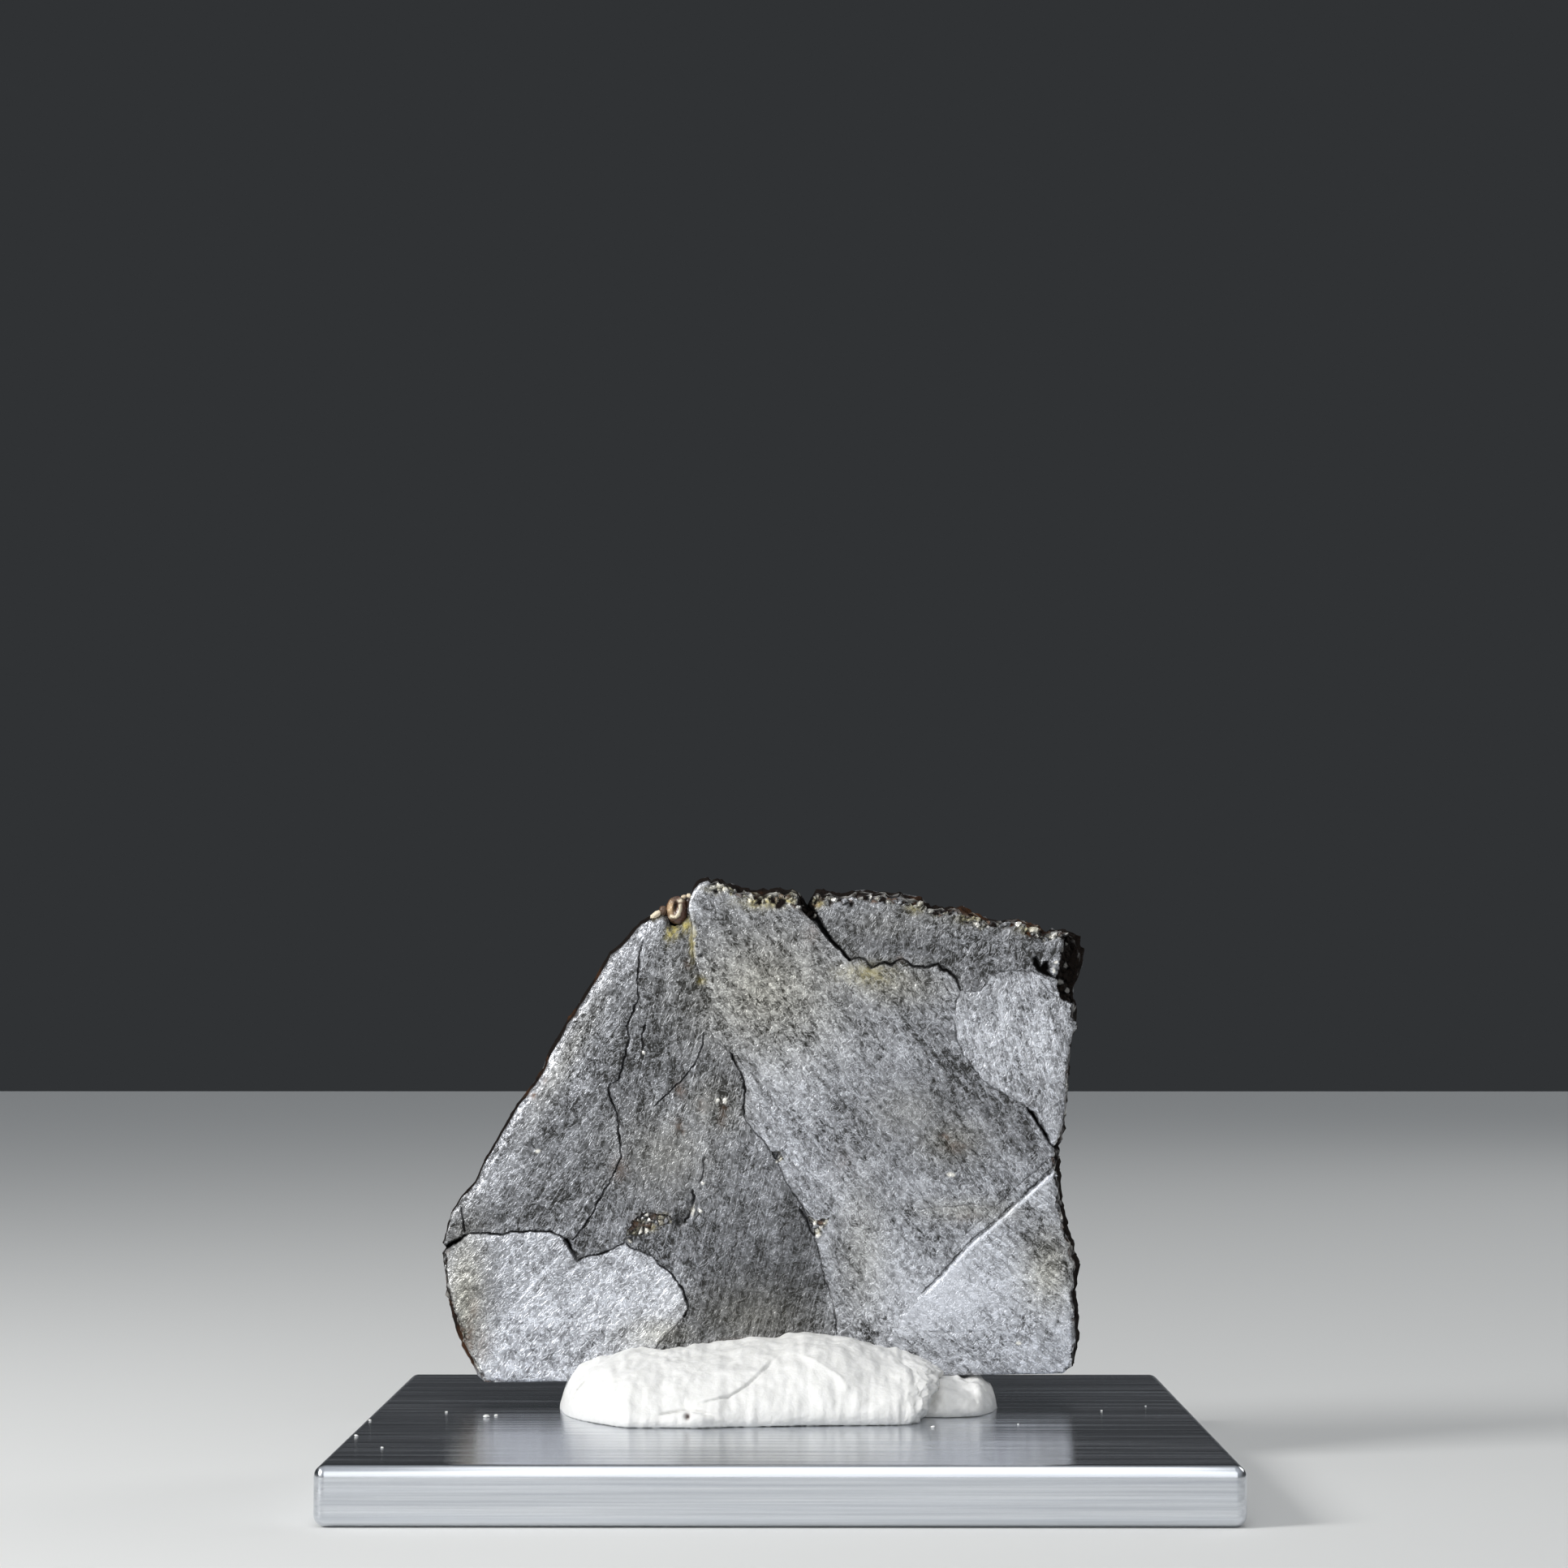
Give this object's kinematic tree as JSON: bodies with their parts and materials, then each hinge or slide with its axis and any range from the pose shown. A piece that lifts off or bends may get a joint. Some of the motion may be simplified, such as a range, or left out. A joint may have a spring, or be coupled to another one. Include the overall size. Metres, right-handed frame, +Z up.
{
  "type": "iron meteorite slice on a plate",
  "caption": "Cracked slice of iron meteorite, sawn flat with a rough natural rim, stood on edge in a lump of white putty on a small square metal plate.",
  "frame": {"origin": "middle of the plate's underside, on the surface it stands on", "axes": "+Z up; +X to the right along the plate's front edge; the slice's sawn front face looks towards -Y"},
  "size_m": [0.06, 0.06, 0.0433],
  "materials": {
    "plate": "cut from flat bar, brushed in long straight lines, edges rounded",
    "putty": "soft white mounting putty, pressed by hand, matte",
    "meteorite": "nickel-iron, sawn, lapped and lightly etched, with coarse crystal grains, open cracks and a rusty crusted rim"
  },
  "bodies": {
    "root": {"base_plate": "plate", "putty": "putty", "meteorite_slice": "meteorite"}
  },
  "joints": []
}
